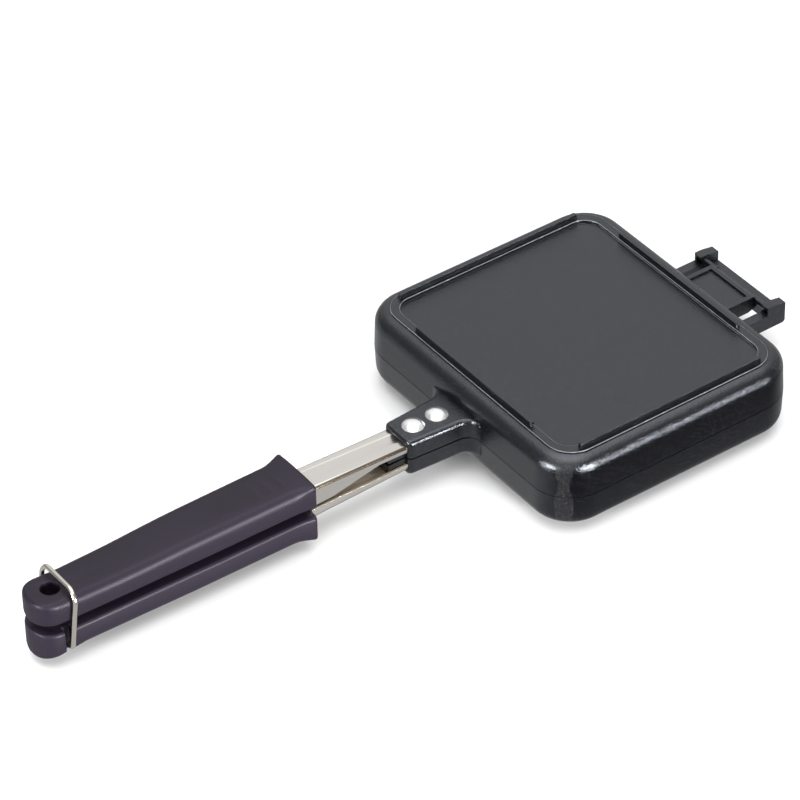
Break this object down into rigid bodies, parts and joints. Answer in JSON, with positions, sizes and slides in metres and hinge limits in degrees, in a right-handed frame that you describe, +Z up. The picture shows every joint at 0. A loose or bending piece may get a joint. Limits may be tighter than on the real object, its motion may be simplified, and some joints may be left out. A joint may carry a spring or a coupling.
{
  "type": "pie iron",
  "caption": "Hinged pie iron: two rimmed cast plates on riveted steel straps with moulded grips, shut by a swinging wire ring.",
  "frame": {"origin": "on the ground, under the middle of the overall length", "axes": "+X from the grips to the hinge along the handle, +Y across the plates, +Z up out of the upper plate"},
  "size_m": [0.35, 0.137, 0.0388],
  "materials": {
    "coated_plate": "cast, fine pebbled dark non-stick coating, satin",
    "strap_steel": "polished stainless sheet",
    "rivet_metal": "bright, domed",
    "grip_plastic": "fine matte heat-resistant moulding, dark aubergine black",
    "wire_steel": "bright spring wire",
    "screw_steel": "plain"
  },
  "bodies": {
    "base": {"lower_plate": "coated_plate", "lower_strap": "strap_steel", "lower_grip": "grip_plastic", "lower_rivets": "rivet_metal", "lower_grip_screw": "screw_steel"},
    "lid": {"upper_plate": "coated_plate", "upper_strap": "strap_steel", "upper_grip": "grip_plastic", "upper_rivets": "rivet_metal", "upper_grip_screw": "screw_steel"},
    "ring": {"lock_ring": "wire_steel"}
  },
  "joints": [
    {"name": "lid_hinge", "type": "hinge", "parent": "base", "child": "lid", "pos_m": [0.16755, 0, 0.02185], "axis": [0, 1, 0], "range_deg": [0, 180]},
    {"name": "ring_swing", "type": "hinge", "parent": "base", "child": "ring", "pos_m": [-0.16355, 0, 0.00885], "axis": [0, 1, 0], "range_deg": [-110, 0]}
  ]
}
